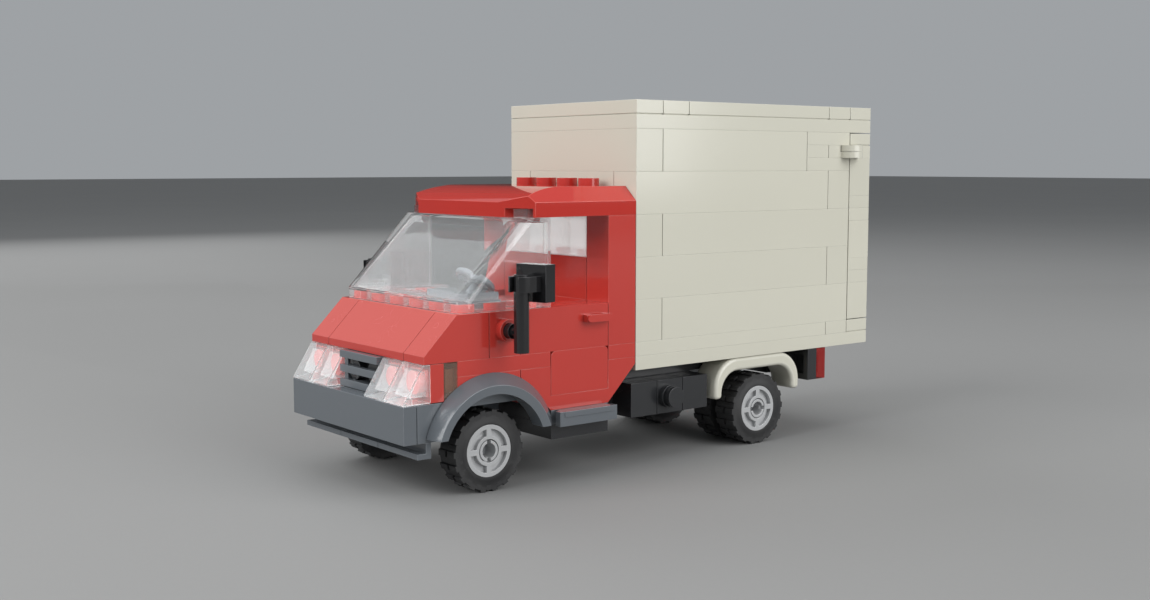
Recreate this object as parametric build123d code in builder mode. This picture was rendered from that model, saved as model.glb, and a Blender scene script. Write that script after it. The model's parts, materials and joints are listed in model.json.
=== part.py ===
"""Brick-built toy delivery truck: stud-and-tube bricks, opening rear doors, rolling wheels."""
import os
from math import cos, pi, radians, sin

from build123d import *

# ---------------------------------------------------------------- driving dimensions (mm)
STUD = 8.0            # pitch of the stud grid
PLATE = 3.2           # height of one plate; a brick is three plates
PLAY = 0.08           # taken off each side of a brick so that neighbours slide in
STUD_R = 2.4          # stud radius
STUD_H = 1.7          # stud height
EDGE = STUD / 2 - STUD_R  # from a brick's grid line to the nearest side of its studs
WALL = 1.5            # side wall of a hollow part
ROOF = 1.2            # top wall of a hollow brick
TUBE_R = 3.2          # outside radius of the tubes that grip between four studs
TUBE_BORE_R = 2.4     # bore of those tubes
RIB_R = 1.5           # round rib under a brick that is one stud wide
GROOVE = 0.2          # finger groove round the foot of a tile
BAR_R = 1.6           # radius of every 3.2 mm bar, pin and spigot
RUN = 0.05            # radial play of a bar that turns in a bore

TYRE_R = 8.75         # tyre tread radius
TYRE_W = 6.0          # tyre and rim width
RIM_R = 5.55          # rim flange radius
RIM_SEAT_R = 5.0      # where the tyre grips the rim
AXLE_DROP = 13.2      # wheel centre below the cargo deck line

BOX_LEN = 10          # cargo box length, in studs
GRIP_STAND = 1.9      # how far a grip bar stands off its face
FRONT_Y = -60.8       # bumper face, measured from the cab's back wall
REAR_Y = BOX_LEN * STUD - PLAY + GRIP_STAND  # rear door grips, from the same wall
DECK_Z = TYRE_R + AXLE_DROP           # underside of the cargo floor above the ground
CAB_BACK_Y = -(FRONT_Y + REAR_Y) / 2  # the cab's back wall in the truck's own frame

HALF_W = 3            # half width of cab and cargo box, in studs
BOX_TOP = 17          # plates from the deck line to the roof plate's underside
AXLE_STUDS = 5        # both axles are this many studs from the cab's back wall
DOOR_GAP = 0.2        # play round a rear door leaf

os.makedirs("parts", exist_ok=True)


def along(studs):
    """Y of a stud line, counted backwards from the cab's back wall."""
    return CAB_BACK_Y + studs * STUD


def level(plates):
    """Z of a plate level, counted up from the cargo deck line."""
    return DECK_Z + plates * PLATE


def save(name, shape):
    """Label one finished node and write it."""
    shape.label = name
    export_step(shape, f"parts/{name}.step")


def save_group(name, pieces):
    """Write like pieces as one node of separate solids."""
    save(name, Compound(label=name, children=list(pieces)))


def block(base, nx, ny, height, studs=True, hollow=True, foot=0.0, play_y=PLAY):
    """Brick, plate or tile that grows from the centre of its open side, base."""
    lx = nx * STUD - 2 * PLAY
    ly = ny * STUD - 2 * play_y
    cavity = (nx * STUD - 2 * EDGE, ny * STUD - 2 * EDGE)
    depth = height - ROOF
    with BuildPart() as piece:
        with BuildSketch(base.offset(foot)):
            Rectangle(lx, ly)
        extrude(amount=height - foot)
        if foot > 0:
            with BuildSketch(base):
                Rectangle(lx - 2 * GROOVE, ly - 2 * GROOVE)
            extrude(amount=foot)
        if hollow:
            with BuildSketch(base):
                Rectangle(*cavity)
            extrude(amount=depth, mode=Mode.SUBTRACT)
        if hollow and min(nx, ny) > 1:
            with BuildSketch(base):
                with GridLocations(STUD, STUD, nx - 1, ny - 1):
                    Circle(TUBE_R)
                with GridLocations(STUD, STUD, nx - 1, ny - 1):
                    Circle(TUBE_BORE_R, mode=Mode.SUBTRACT)
            extrude(amount=depth)
        elif hollow and max(nx, ny) > 1:
            with BuildSketch(base):
                with GridLocations(STUD, STUD, max(nx - 1, 1), max(ny - 1, 1)):
                    Circle(RIB_R)
            extrude(amount=depth)
        if studs:
            with BuildSketch(base.offset(height)):
                with GridLocations(STUD, STUD, nx, ny):
                    Circle(STUD_R)
            extrude(amount=STUD_H)
    return piece.part


def brick(x0, x1, y0, y1, z0, z1, **kind):
    """Upright brick between stud lines x0-x1, y0-y1 and plate levels z0-z1."""
    base = Plane((STUD * (x0 + x1) / 2, along((y0 + y1) / 2), level(z0)))
    return block(base, x1 - x0, y1 - y0, (z1 - z0) * PLATE, **kind)


def tile(x0, x1, y0, y1, z0, z1):
    """Smooth plate with a finger groove round its foot."""
    return brick(x0, x1, y0, y1, z0, z1, studs=False, foot=GROOVE)


def facing(x, y, z, out):
    """Plane for a plate turned on its side: out is the way its studs point."""
    return Plane((x, y, z), x_dir=(out[1] ** 2, out[0] ** 2, 0), z_dir=out)


def slab(x0, x1, outline):
    """Prism along X between x0 and x1 mm from an outline of (y, z) points."""
    with BuildPart() as piece:
        with BuildSketch(Plane((x0, 0, 0), x_dir=(0, 1, 0), z_dir=(1, 0, 0))):
            with BuildLine():
                Polyline(*outline, close=True)
            make_face()
        extrude(amount=x1 - x0)
    return piece.part


FRONT = (0, -1, 0)
REAR = (0, 1, 0)
SIDES = {"left": 1, "right": -1}

# ---------------------------------------------------------------- chassis
# Three layers of four-wide plates tie the cab to the cargo floor.
save_group("chassis_plates", [
    brick(-2, 2, -3, 3, -3, -2),
    brick(-2, 2, 0, 3, -2, -1),
    brick(-2, 2, 0, 8, -1, 0),
])

save("underbody_plate", brick(-3, 3, -3, -1, -4, -3))


def axle_plate(half, y, z0):
    """Plate with two legs that carry a pair of fixed wheel pins on one line."""
    reach = TYRE_OUT_X - PIN_SHORT
    with BuildPart() as piece:
        add(brick(-half, half, y - 1, y + 1, z0, z0 + 1))
        with BuildSketch(Plane((0, along(y), level(z0)))):
            with Locations((-half * STUD + 1.6, 0), (half * STUD - 1.6, 0)):
                Rectangle(2.8, 6.4)
        extrude(amount=-(level(z0) - TYRE_R + 2.4))
        with BuildSketch(Plane((-reach, along(y), TYRE_R), x_dir=(0, 1, 0), z_dir=(1, 0, 0))):
            Circle(BAR_R)
        extrude(amount=2 * reach)
        with BuildSketch(Plane((0, along(y), TYRE_R))):
            Rectangle(2 * half * STUD - 6.0, 8)
        extrude(amount=BAR_R + 0.1, both=True, mode=Mode.SUBTRACT)
    return piece.part


TYRE_OUT_X = 23.6     # outer face of every outer wheel
PIN_SHORT = 3.2       # a pin ends this far inside the wheel's outer face
WHEEL_STEP = 8.0      # from the outer to the inner wheel of a rear pair
save_group("axle_plates", [axle_plate(2, -AXLE_STUDS, -3), axle_plate(1, AXLE_STUDS, -2)])

# ---------------------------------------------------------------- wheels
SLOT_IN_R = 3.2       # the recessed ring on the face lies between these two radii
SLOT_OUT_R = 4.65
SLOT_DEPTH = 1.0
HUB_R = 2.25
RING_GROOVE = 0.25    # width of the fine groove round the hub
NOTCH_W = 0.9         # notch across the hub
TREAD_LUGS = 18
TREAD_DEPTH = 0.4
TREAD_SPLIT = 0.7     # gap between the two blocks of a pair


def rim(hub):
    """Rim from its inner face, hub, outwards: flanges, slotted face and a bored centre."""
    with BuildPart() as piece:
        with BuildSketch(hub):
            Circle(RIM_SEAT_R)
        extrude(amount=TYRE_W)
        for start in (0, TYRE_W - 0.7):
            with BuildSketch(hub.offset(start)):
                Circle(RIM_R)
            extrude(amount=0.7)
        # hollow back between the barrel and the hub
        with BuildSketch(hub):
            Circle(RIM_SEAT_R - 0.8)
            Circle(HUB_R, mode=Mode.SUBTRACT)
        extrude(amount=TYRE_W - 3.0, mode=Mode.SUBTRACT)
        # slotted ring on the face, split by four webs
        with BuildSketch(hub.offset(TYRE_W)):
            Circle(SLOT_OUT_R)
            Circle(SLOT_IN_R, mode=Mode.SUBTRACT)
            Rectangle(2 * RIM_R, 1.2, mode=Mode.SUBTRACT)
            Rectangle(1.2, 2 * RIM_R, mode=Mode.SUBTRACT)
        extrude(amount=-SLOT_DEPTH, mode=Mode.SUBTRACT)
        # fine ring round the hub with a notch on both sides of the bore
        with BuildSketch(hub.offset(TYRE_W)):
            Circle(HUB_R + RING_GROOVE)
            Circle(HUB_R, mode=Mode.SUBTRACT)
            Rectangle(NOTCH_W, 2 * HUB_R)
        extrude(amount=-1.2, mode=Mode.SUBTRACT)
        with BuildSketch(hub):
            Circle(BAR_R + RUN)
        extrude(amount=TYRE_W, mode=Mode.SUBTRACT)
    return piece.part


def tyre(hub):
    """Rubber tyre from its inner face, hub: raised pairs of blocks with low bars between them."""
    lug = pi * TYRE_R / TREAD_LUGS
    with BuildPart() as piece:
        with BuildSketch(hub):
            Circle(TYRE_R - TREAD_DEPTH)
        extrude(amount=TYRE_W)
        for start in (0, (TYRE_W + TREAD_SPLIT) / 2):
            with BuildSketch(hub.offset(start)):
                Circle(TYRE_R)
                with PolarLocations(TYRE_R, TREAD_LUGS):
                    Rectangle(2 * TREAD_DEPTH, lug, mode=Mode.SUBTRACT)
            extrude(amount=(TYRE_W - TREAD_SPLIT) / 2)
        with BuildSketch(hub):
            Circle(RIM_SEAT_R)
        extrude(amount=TYRE_W, mode=Mode.SUBTRACT)
        for start in (0, TYRE_W - 0.7):
            with BuildSketch(hub.offset(start)):
                Circle(RIM_R)
            extrude(amount=0.7, mode=Mode.SUBTRACT)
    return piece.part


WHEELS = {"front": (-AXLE_STUDS, 0), "rear_outer": (AXLE_STUDS, 0), "rear_inner": (AXLE_STUDS, WHEEL_STEP)}
for place, (studs, inset) in WHEELS.items():
    for side, sign in SIDES.items():
        inner_x = sign * (TYRE_OUT_X - TYRE_W - inset)
        notch = (0, 0, 1) if place == "rear_outer" else (0, 1, 0)
        hub_plane = Plane((inner_x, along(studs), TYRE_R), x_dir=notch, z_dir=(sign, 0, 0))
        save(f"{place}_rim_{side}", rim(hub_plane))
        save(f"{place}_tyre_{side}", tyre(hub_plane))

# ---------------------------------------------------------------- cab floor and sides
# Pan with a slope at each end and a cut-out over its middle two rows.
pan_top, pan_floor, pan_foot = level(1), level(-1), level(-2)
slope_foot = level(0.5)
with BuildPart() as floor_pan:
    add(slab(-HALF_W * STUD + PLAY, HALF_W * STUD - PLAY, [
        (along(-4) + PLAY, slope_foot), (along(-3), pan_foot), (along(-1), pan_foot),
        (along(0) - PLAY, slope_foot), (along(0) - PLAY, pan_top), (along(-1), pan_top),
        (along(-1), pan_floor), (along(-3), pan_floor), (along(-3), pan_top),
        (along(-4) + PLAY, pan_top),
    ]))
    with BuildSketch(Plane((0, along(-2), pan_foot))):
        Rectangle(6 * STUD - 2 * WALL, 2 * STUD - 2 * WALL)
        with GridLocations(STUD, STUD, 5, 1):
            Circle(TUBE_R, mode=Mode.SUBTRACT)
            Circle(TUBE_BORE_R)
    extrude(amount=PLATE - ROOF, mode=Mode.SUBTRACT)
    with BuildSketch(Plane((0, along(-2), pan_top))):
        with GridLocations(STUD, 3 * STUD, 6, 2):
            Circle(STUD_R)
    extrude(amount=STUD_H)
save("cab_floor_pan", floor_pan.part)

save_group("cab_floor_plates", [
    brick(-3, 3, -6, -4, 0, 1),
    brick(-3, 3, -6, -3, 1, 2),
    brick(-3, 3, -1, 0, 1, 2),
])

PANEL_ROUND = 1.2     # rounded top corners of the lower door panel


def lower_panel(sign):
    """Thin upright wall two studs long that stands on its own foot plate."""
    wall_x = sign * (HALF_W * STUD - PLAY)
    with BuildPart() as piece:
        with BuildSketch(Plane((wall_x, along(-2), level(0.5)), x_dir=(0, 1, 0), z_dir=(-sign, 0, 0))):
            RectangleRounded(2 * STUD - 2 * PLAY, 3 * PLATE, PANEL_ROUND)
        extrude(amount=WALL)
        with BuildSketch(Plane((sign * 2.5 * STUD, along(-2), level(-1)))):
            Rectangle(STUD - 2 * PLAY, 2 * STUD - 2 * PLAY)
        extrude(amount=PLATE - 0.4)
    return piece.part


save_group("lower_door_panels", [lower_panel(sign) for sign in SIDES.values()])

HANDLE_LEN = 7.0
HANDLE_THICK = 1.6
GRIP_DEEP = 1.0


def bar_handle(face, length):
    """Moulded grip bar that stands off a face on two posts; face.x runs along the bar."""
    with BuildPart() as grip:
        with BuildSketch(face):
            with GridLocations(length - HANDLE_THICK, 1, 2, 1):
                Rectangle(HANDLE_THICK, HANDLE_THICK)
        extrude(amount=GRIP_STAND - GRIP_DEEP / 2)
        with BuildSketch(face.offset(GRIP_STAND - GRIP_DEEP)):
            SlotOverall(length, HANDLE_THICK)
        extrude(amount=GRIP_DEEP)
    return grip.part


def door_brick(sign):
    """Long door brick, smooth but for the stud under the windscreen, with its grip bar."""
    x0, x1 = sorted((sign * 2, sign * 3))
    face = Plane((sign * (HALF_W * STUD - PLAY), along(-1) - 3.6, level(4.05)),
                 x_dir=(0, 1, 0), z_dir=(sign, 0, 0))
    with BuildPart() as piece:
        add(brick(x0, x1, -4, -1, 2, 5, studs=False))
        with BuildSketch(Plane((sign * 2.5 * STUD, along(-3.5), level(5)))):
            Circle(STUD_R)
        extrude(amount=STUD_H)
        add(bar_handle(face, HANDLE_LEN))
    return piece.part


def side_stud_brick(sign):
    """One-stud brick with a bored stud on its outer face, which holds a mirror arm."""
    x0, x1 = sorted((sign * 2, sign * 3))
    face = Plane((sign * (HALF_W * STUD - PLAY), MIRROR_Y, MIRROR_Z), x_dir=(0, 1, 0), z_dir=(sign, 0, 0))
    with BuildPart() as piece:
        add(brick(x0, x1, -5, -4, 2, 5, hollow=False))
        with BuildSketch(Plane((sign * 2.5 * STUD, MIRROR_Y, level(2)))):
            Rectangle(2 * STUD_R, 2 * STUD_R)
        extrude(amount=PLATE - ROOF, mode=Mode.SUBTRACT)
        with BuildSketch(face):
            Circle(STUD_R)
        extrude(amount=STUD_H)
        with BuildSketch(face.offset(STUD_H)):
            Circle(BAR_R + RUN)
        extrude(amount=-(STUD_H + SPIGOT_DEPTH + 0.4), mode=Mode.SUBTRACT)
    return piece.part


MIRROR_Y = along(-4.5)
MIRROR_Z = level(3.75)
SPIGOT_DEPTH = 3.0    # how far a mirror spigot reaches past the brick's face
save_group("door_bricks", [make(sign) for make in (door_brick, side_stud_brick) for sign in SIDES.values()])

save_group("door_pillars", [brick(-3, -2, -1, 0, 2, 11), brick(2, 3, -1, 0, 2, 11)])

# ---------------------------------------------------------------- hood
HOOD_LIP = 1.6        # upright front edge of a slope brick


def hood_slope(x0, x1):
    """Slope brick two studs deep with one row of studs along its back."""
    front, crest, back = along(-7) + PLAY, along(-6), along(-5) - PLAY
    foot, top = level(2), level(5)
    rise = top - foot - HOOD_LIP
    left, right = x0 * STUD + PLAY, x1 * STUD - PLAY
    outer = slab(left, right, [(front, foot), (front, foot + HOOD_LIP), (crest, top), (back, top), (back, foot)])
    inner_rise = rise - ROOF - 0.4
    cavity = slab(left + WALL, right - WALL, [
        (front + 2.6, foot), (crest, foot + inner_rise), (back - WALL, foot + inner_rise), (back - WALL, foot),
    ])
    with BuildPart() as piece:
        add(outer)
        add(cavity, mode=Mode.SUBTRACT)
        with BuildSketch(Plane(((left + right) / 2, along(-5.5), top))):
            with GridLocations(STUD, STUD, x1 - x0, 1):
                Circle(STUD_R)
        extrude(amount=STUD_H)
    return piece.part


save_group("hood_slopes", [hood_slope(-3, -2), hood_slope(-2, 2), hood_slope(2, 3)])
save("dashboard_brick", brick(-2, 2, -5, -4, 2, 5))

# ---------------------------------------------------------------- nose: lamps, grille, bumper
LAMP_Z = level(0.75)      # middle of the lamp row
BUMPER_Z = level(-1.75)   # middle of the bumper row
NOSE_Y = along(-6)        # front of the cab floor plates

with BuildPart() as nose_bracket:
    add(brick(-1, 1, -6, -4, -1, 0))
    with BuildSketch(facing(0, NOSE_Y + PLAY, (LAMP_Z + BUMPER_Z) / 2, FRONT)):
        Rectangle(4 * STUD - 2 * PLAY, LAMP_Z - BUMPER_Z + STUD - 2 * PLAY)
    extrude(amount=PLATE + PLAY)
    with BuildSketch(facing(0, NOSE_Y - PLATE, (LAMP_Z + BUMPER_Z) / 2, FRONT)):
        with GridLocations(STUD, LAMP_Z - BUMPER_Z, 4, 2):
            Circle(STUD_R)
    extrude(amount=STUD_H)
save("nose_bracket", nose_bracket.part)

save("front_spacer_plate", brick(-1, 1, -6, -4, -2, -1))

save_group("turn_signals", [
    block(facing(sign * 2.5 * STUD, NOSE_Y, LAMP_Z, FRONT), 1, 1, PLATE) for sign in SIDES.values()
])
save_group("nose_plates", [
    block(facing(sign * 2 * STUD, NOSE_Y - PLATE, LAMP_Z, FRONT), 2, 1, PLATE) for sign in SIDES.values()
])
save("grille_plate", block(facing(0, NOSE_Y - PLATE, LAMP_Z, FRONT), 2, 1, PLATE))
save_group("bumper_plates", [
    block(facing(0, NOSE_Y - step * PLATE, BUMPER_Z, FRONT), 6, 1, PLATE) for step in (1, 2)
])
save("bumper_tile", block(facing(0, NOSE_Y - 3 * PLATE, BUMPER_Z, FRONT), 6, 1, PLATE,
                          studs=False, foot=GROOVE))

LENS_DEEP = 6.4       # lens depth at its foot
LENS_THIN = 1.7       # lens depth at its top
LENS_WALL = 1.3


def headlight(x):
    """Clear sloped lens, hollow behind so that it drops over a stud."""
    back = NOSE_Y - 2 * PLATE
    foot, top = LAMP_Z - STUD / 2 + PLAY, LAMP_Z + STUD / 2 - PLAY
    left, right = x - STUD / 2 + PLAY, x + STUD / 2 - PLAY
    shell = slab(left, right, [
        (back, foot), (back - LENS_DEEP, foot), (back - LENS_DEEP, foot + 0.3), (back - LENS_THIN, top), (back, top),
    ])
    hollow = slab(left + LENS_WALL, right - LENS_WALL, [
        (back, foot + LENS_WALL), (back - LENS_DEEP + 2.2, foot + LENS_WALL),
        (back - STUD_H - 0.2, top - 2.0), (back - STUD_H - 0.2, top - 1.4), (back, top - 1.4),
    ])
    with BuildPart() as lens:
        add(shell)
        add(hollow, mode=Mode.SUBTRACT)
    return lens.part


save_group("headlights", [headlight(STUD * n) for n in (-2.5, -1.5, 1.5, 2.5)])

GRILLE_BAR = 1.6      # height of each of the three bars
GRILLE_GAP = (STUD - 2 * PLAY - 3 * GRILLE_BAR) / 2
BAR_DEEP = 1.2        # depth of the bars' free ends
with BuildPart() as grille:
    grille_back = facing(0, NOSE_Y - 2 * PLATE, LAMP_Z, FRONT)
    with BuildSketch(grille_back):
        Rectangle(2 * STUD - 2 * PLAY, STUD - 2 * PLAY)
    extrude(amount=PLATE)
    with BuildSketch(grille_back):
        Rectangle(2 * STUD - 2 * PLAY - 2 * WALL, STUD - 2 * PLAY - 2 * WALL)
    extrude(amount=STUD_H + 0.1, mode=Mode.SUBTRACT)
    # the two gaps run right across the face and open into the hollow behind it
    for width, depth in ((2 * STUD, BAR_DEEP), (2 * STUD - 2 * PLAY - 2 * WALL, PLATE)):
        with BuildSketch(grille_back.offset(PLATE)):
            with GridLocations(1, GRILLE_BAR + GRILLE_GAP, 1, 2):
                Rectangle(width, GRILLE_GAP)
        extrude(amount=-depth, mode=Mode.SUBTRACT)
save("grille", grille.part)

SPLITTER_LIP = 1.15
splitter_front = NOSE_Y - 3 * PLATE
splitter_back = splitter_front + PLATE
splitter_web = splitter_back - 1.2


def splitter_strip(n):
    """Strip two studs wide with a thin lip along its lower front edge."""
    left, right = (n - 1) * STUD + PLAY, (n + 1) * STUD - PLAY
    return slab(left, right, [
        (splitter_front, level(-4)), (splitter_back, level(-4)), (splitter_back, level(-3) + PLAY),
        (splitter_web, level(-3) + PLAY), (splitter_web, level(-4) + SPLITTER_LIP),
        (splitter_front, level(-4) + SPLITTER_LIP),
    ])


save_group("splitter_strips", [splitter_strip(n) for n in (-2, 0, 2)])

# ---------------------------------------------------------------- front fenders
ARCH_IN_R = 12.65     # opening round the wheel
ARCH_LIP_R = 14.5     # outer edge of the flared lip
ARCH_BODY_R = 16.6    # where the flare meets the cab side
ARCH_OUT_X = 28.0
ARCH_FOOT = level(-3) + 0.8
axle_y = along(-AXLE_STUDS)
ARCH_IN_Y = axle_y - 1.0      # the three circles are not quite concentric
ARCH_LIP_Y = axle_y - 0.8
ARCH_BODY_Y = axle_y + 0.3


def fender(sign):
    """Flared wheel arch with the plate that fixes it under the cab floor."""
    side_x = HALF_W * STUD + PLAY
    x0, x1 = sorted((sign * 1, sign * 3))
    turned = {"x_dir": (0, 1, 0), "z_dir": (sign, 0, 0)}
    with BuildPart() as piece:
        with BuildSketch(Plane((sign * side_x, ARCH_BODY_Y, TYRE_R), **turned)):
            Circle(ARCH_BODY_R)
        with BuildSketch(Plane((sign * ARCH_OUT_X, ARCH_LIP_Y, TYRE_R), **turned)):
            Circle(ARCH_LIP_R)
        loft()
        with BuildSketch(Plane((sign * side_x, ARCH_IN_Y, TYRE_R), **turned)):
            Circle(ARCH_IN_R)
        extrude(amount=ARCH_OUT_X - side_x, mode=Mode.SUBTRACT)
        with BuildSketch(Plane((sign * 26, axle_y, ARCH_FOOT))):
            Rectangle(8, 40)
        extrude(amount=-40, mode=Mode.SUBTRACT)
        add(brick(x0, x1, -6, -4, -1, 0))
        add(brick(*sorted((sign * 1, sign * 2)), -6, -4, -2, -1, studs=False))
        # tongue that joins the plate to the flare
        with BuildSketch(Plane((sign * 24.2, axle_y, level(-0.35)))):
            Rectangle(1.6, 2 * STUD - 4)
        extrude(amount=level(0) - level(-0.35))
    return piece.part


save_group("front_fenders", [fender(sign) for sign in SIDES.values()])

# ---------------------------------------------------------------- side steps
STEP_OUT_X = 27.2
STEP_RAIL = 1.8


def side_step(sign):
    """Step plate whose outer rail stands clear of the cab side."""
    x0, x1 = sorted((sign * 2, sign * 3))
    with BuildPart() as piece:
        add(brick(x0, x1, -3, -1, -3, -2))
        with BuildSketch(Plane((sign * (HALF_W * STUD + STEP_OUT_X) / 2, along(-2), level(-2) - 1.2))):
            Rectangle(STEP_OUT_X - HALF_W * STUD + 0.4, 2 * STUD - 2 * PLAY - 2.4)
        extrude(amount=1.2)
        with BuildSketch(Plane((sign * (STEP_OUT_X - STEP_RAIL / 2), along(-2), level(-3)))):
            Rectangle(STEP_RAIL, 2 * STUD - 2 * PLAY)
        extrude(amount=PLATE)
    return piece.part


save_group("side_steps", [side_step(sign) for sign in SIDES.values()])

# ---------------------------------------------------------------- side boxes behind the cab
SIDE_BOX_X = 2 * STUD + 2 * PLATE
CAP_RING_R = 2.7
side_box_z = level(-2.25)


def side_box(sign, n):
    """Square black unit on the chassis side; the middle one carries a plain round cap."""
    out = (sign, 0, 0)
    base = facing(sign * (2 * STUD - PLAY), along(n + 0.5), side_box_z, out)
    with BuildPart() as piece:
        add(block(base, 1, 1, 2 * PLATE + PLAY, studs=False, hollow=False))
        if n == 1:
            cap = facing(sign * SIDE_BOX_X, along(n + 0.4), side_box_z + 0.1, out)
            with BuildSketch(cap):
                Circle(CAP_RING_R)
            extrude(amount=1.4)
            with BuildSketch(cap.offset(1.4)):
                Circle(STUD_R - 0.4)
            extrude(amount=0.3)
            with BuildSketch(cap.offset(1.7)):
                Circle(STUD_R)
            extrude(amount=1.5)
    return piece.part


save_group("side_boxes", [side_box(sign, n) for sign in SIDES.values() for n in range(3)])

# ---------------------------------------------------------------- rear mudguards and tail lamps
GUARD_IN_X = 16.1
GUARD_OUT_X = 23.8
GUARD_LEG = 9.6       # how far the guard reaches below the cargo floor
# half length, drop below the cargo floor and corner radius of the guard's outside and of its arch
GUARD_OUTSIDE = (14.6, 0.0, 7.2)
GUARD_ARCH = (12.15, 3.2, 5.2)


def mudguard(sign):
    """Rounded arch over one side's rear pair, with four studs for the cargo floor."""
    plane = Plane((sign * GUARD_IN_X, along(AXLE_STUDS), level(0)), x_dir=(0, 1, 0), z_dir=(sign, 0, 0))
    flip = sign       # local Y runs up on the left side and down on the right
    with BuildPart() as piece:
        for (half, drop, corner), how in ((GUARD_OUTSIDE, Mode.ADD), (GUARD_ARCH, Mode.SUBTRACT)):
            with BuildSketch(plane):
                with Locations((0, -flip * (GUARD_LEG + drop))):
                    RectangleRounded(2 * half, 2 * GUARD_LEG, corner)
            extrude(amount=GUARD_OUT_X - GUARD_IN_X, mode=how)
        with BuildSketch(Plane((sign * 20, along(AXLE_STUDS), level(0) - GUARD_LEG))):
            Rectangle(12, 40)
        extrude(amount=-20, mode=Mode.SUBTRACT)
        with BuildSketch(Plane((sign * 2.5 * STUD, along(AXLE_STUDS), level(0)))):
            with GridLocations(STUD, STUD, 1, 2):
                Circle(STUD_R - 0.1)
        extrude(amount=STUD_H)
    return piece.part


save_group("rear_mudguards", [mudguard(sign) for sign in SIDES.values()])

TAIL_Y = along(7.2)   # front of the tail lamp brackets
TAIL_Z = level(-1.25)


def tail_bracket(sign):
    """Upright plate for a tail lamp on a foot that runs in under the chassis plate."""
    with BuildPart() as piece:
        add(block(facing(sign * 2.5 * STUD, TAIL_Y, TAIL_Z, REAR), 1, 1, PLATE))
        with BuildSketch(Plane((sign * 1.5 * STUD, TAIL_Y + PLATE / 2, level(-2)))):
            Rectangle(STUD + 0.6, PLATE)
            with Locations((0, -4.0)):
                Rectangle(STUD - 2 * PLAY, 8.0)
        extrude(amount=PLATE)
    return piece.part


save_group("tail_brackets", [tail_bracket(sign) for sign in SIDES.values()])
save_group("tail_lenses", [
    block(facing(sign * 2.5 * STUD, TAIL_Y + PLATE, TAIL_Z, REAR), 1, 1, PLATE, studs=False)
    for sign in SIDES.values()
])

# ---------------------------------------------------------------- cab back wall, glass and roof
save_group("cab_back_bricks", [brick(-2, 2, -1, 0, 2, 5), brick(-2, 2, -1, 0, 5, 8)])
save_group("rear_windows", [brick(-2, 0, -1, 0, 8, 11), brick(0, 2, -1, 0, 8, 11)])

GLASS = 1.1           # windscreen wall
SCREEN_ROUND = 4.0    # plan radius of its front corners
SCREEN_BAND = 2.4     # upright band round its foot
screen_foot, screen_top = level(5), level(11)


def screen_outline(y_front, inset, z):
    """Plan of the screen at one height: square back, rounded front corners."""
    half = HALF_W * STUD - PLAY - inset
    back = along(-3)
    front = y_front + inset
    corner = SCREEN_ROUND - inset
    with BuildSketch(Plane.XY.offset(z)) as plan:
        with BuildLine():
            Polyline((-half, front + corner), (-half, back), (half, back), (half, front + corner))
            RadiusArc((half, front + corner), (half - corner, front), corner)
            Line((half - corner, front), (-half + corner, front))
            RadiusArc((-half + corner, front), (-half, front + corner), corner)
        make_face()
    return plan.sketch


with BuildPart() as windscreen:
    band_top = screen_foot + SCREEN_BAND
    loft([screen_outline(along(-6) + PLAY, 0, band_top), screen_outline(along(-4), 0, screen_top)])
    extrude(screen_outline(along(-6) + PLAY, 0, screen_foot), amount=SCREEN_BAND)
    loft([screen_outline(along(-6) + PLAY, GLASS, band_top - 0.01),
          screen_outline(along(-4), GLASS, screen_top - GLASS)], mode=Mode.SUBTRACT)
    # open back above the foot and open window on both sides behind the wings
    with BuildSketch(Plane((0, along(-3.5), screen_foot))):
        Rectangle(4 * STUD, 3 * STUD)
    extrude(amount=SCREEN_BAND + 0.4, mode=Mode.SUBTRACT)
    with BuildSketch(Plane((0, along(-3), band_top))):
        Rectangle(6 * STUD - 2 * PLAY - 2 * GLASS, 6)
    extrude(amount=screen_top - band_top - GLASS, mode=Mode.SUBTRACT)
    # hollow foot that drops over the studs below
    with BuildSketch(Plane((0, along(-5.5), screen_foot))):
        Rectangle(6 * STUD - 2 * WALL - 2 * PLAY, STUD - 2 * WALL - PLAY)
        with Locations((-2.5 * STUD, STUD), (2.5 * STUD, STUD)):
            Rectangle(STUD - 2 * WALL, 3 * STUD - 2 * WALL)
    extrude(amount=STUD_H + 0.1, mode=Mode.SUBTRACT)
    with BuildSketch(Plane((0, along(-5.5), screen_foot))):
        with GridLocations(STUD, STUD, 5, 1):
            Circle(RIB_R)
    extrude(amount=STUD_H + 0.1)
    with BuildSketch(Plane((0, 0, screen_top))):
        with Locations((-2.5 * STUD, along(-3.5)), (2.5 * STUD, along(-3.5))):
            Circle(STUD_R)
    extrude(amount=STUD_H)
save("windscreen", windscreen.part)

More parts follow.
